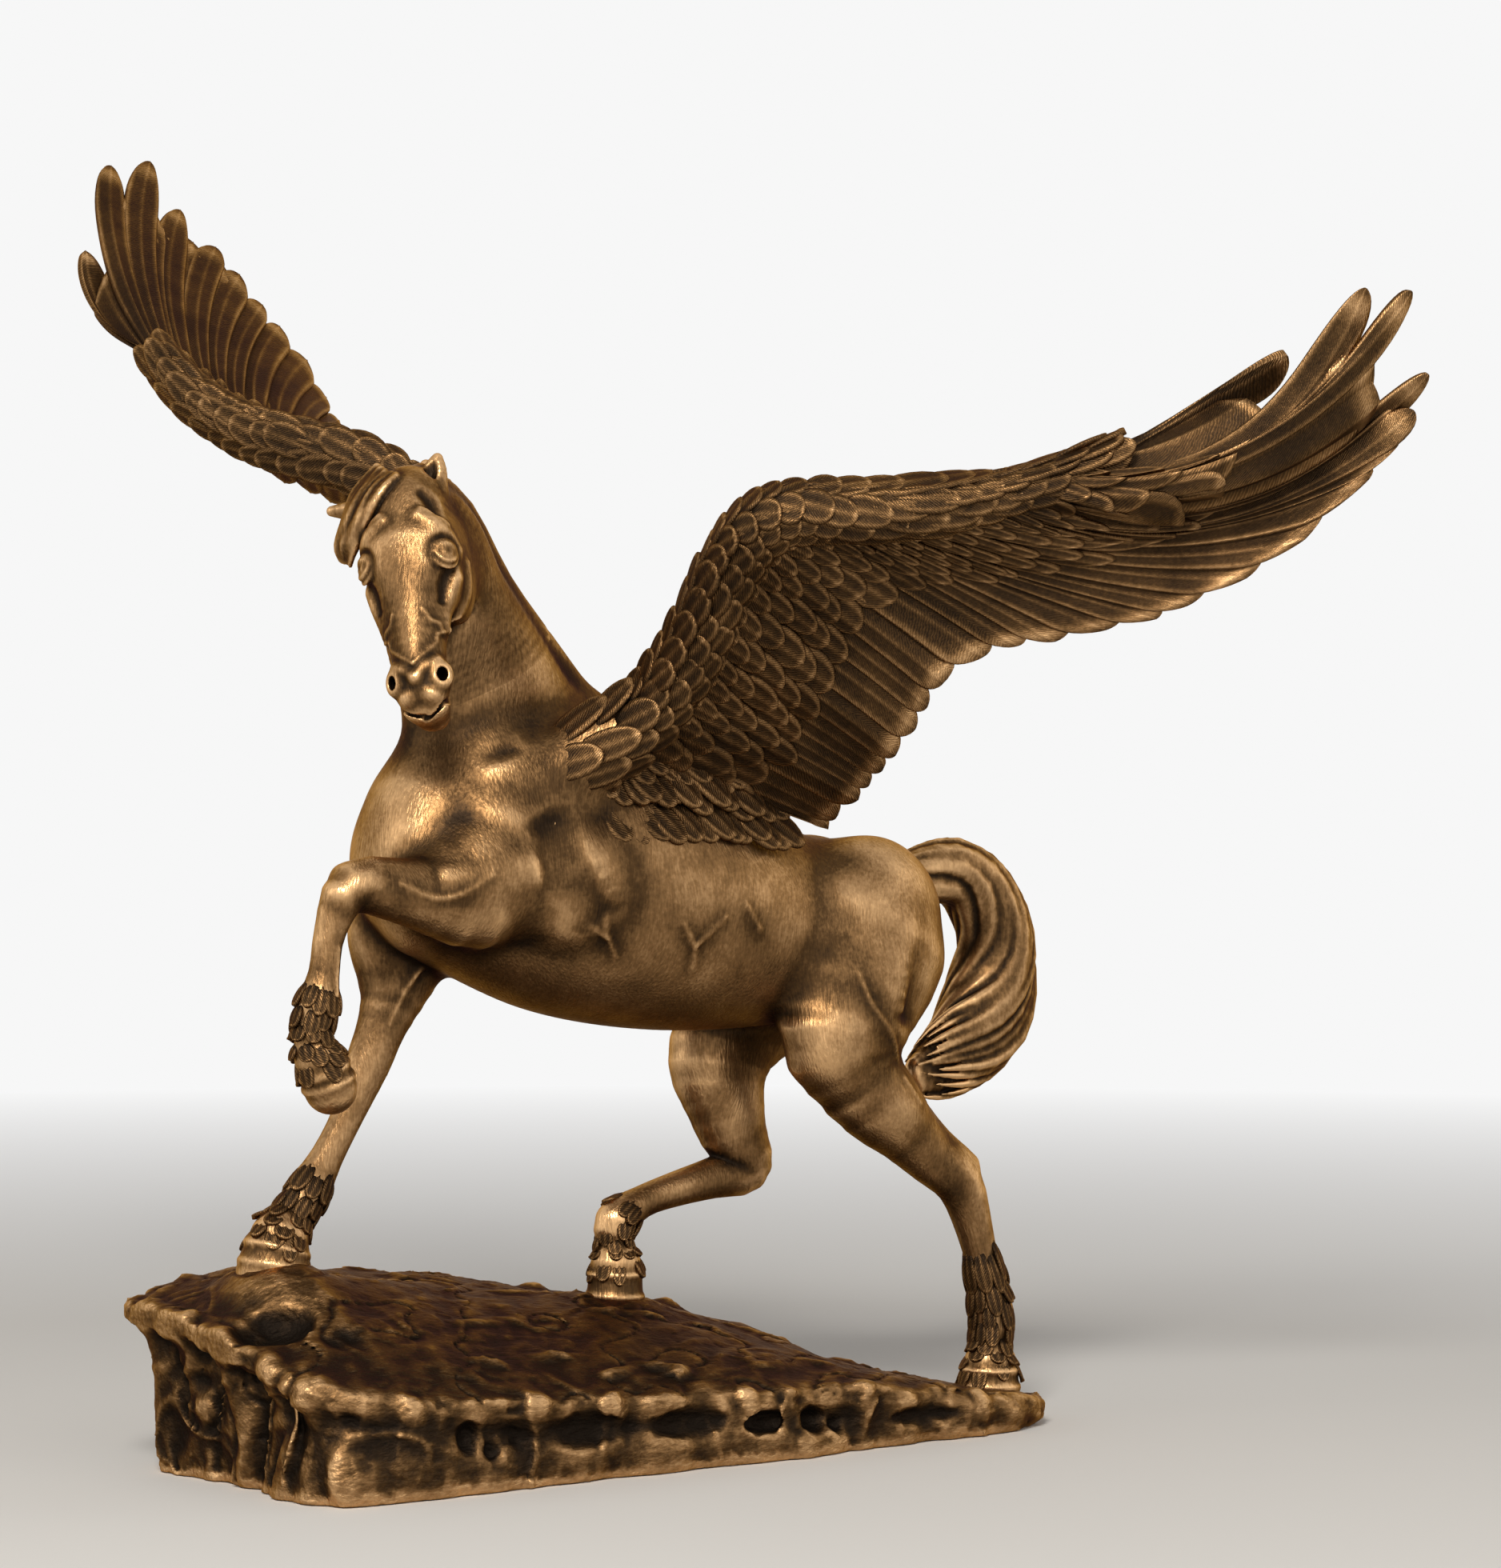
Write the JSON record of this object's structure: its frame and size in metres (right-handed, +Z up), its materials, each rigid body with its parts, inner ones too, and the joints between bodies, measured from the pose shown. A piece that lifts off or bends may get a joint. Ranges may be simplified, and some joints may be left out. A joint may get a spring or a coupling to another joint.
{
  "type": "pegasus figurine",
  "caption": "Bronze-finished figurine of a winged horse stepping forward on a rough rocky base, wings raised, head turned to its left.",
  "frame": {"origin": "centre of the base's flat underside", "axes": "+Z up; the horse walks towards -X with its left side at -Y, so -Y is the side nearest the viewer of the picture"},
  "size_m": [0.2854, 0.3822, 0.3751],
  "materials": {
    "bronze_patina": "antique bronze patina, dark brown in the hollows and rubbed golden on the raised edges"
  },
  "bodies": {
    "root": {"pegasus_figurine": "bronze_patina"}
  },
  "joints": []
}
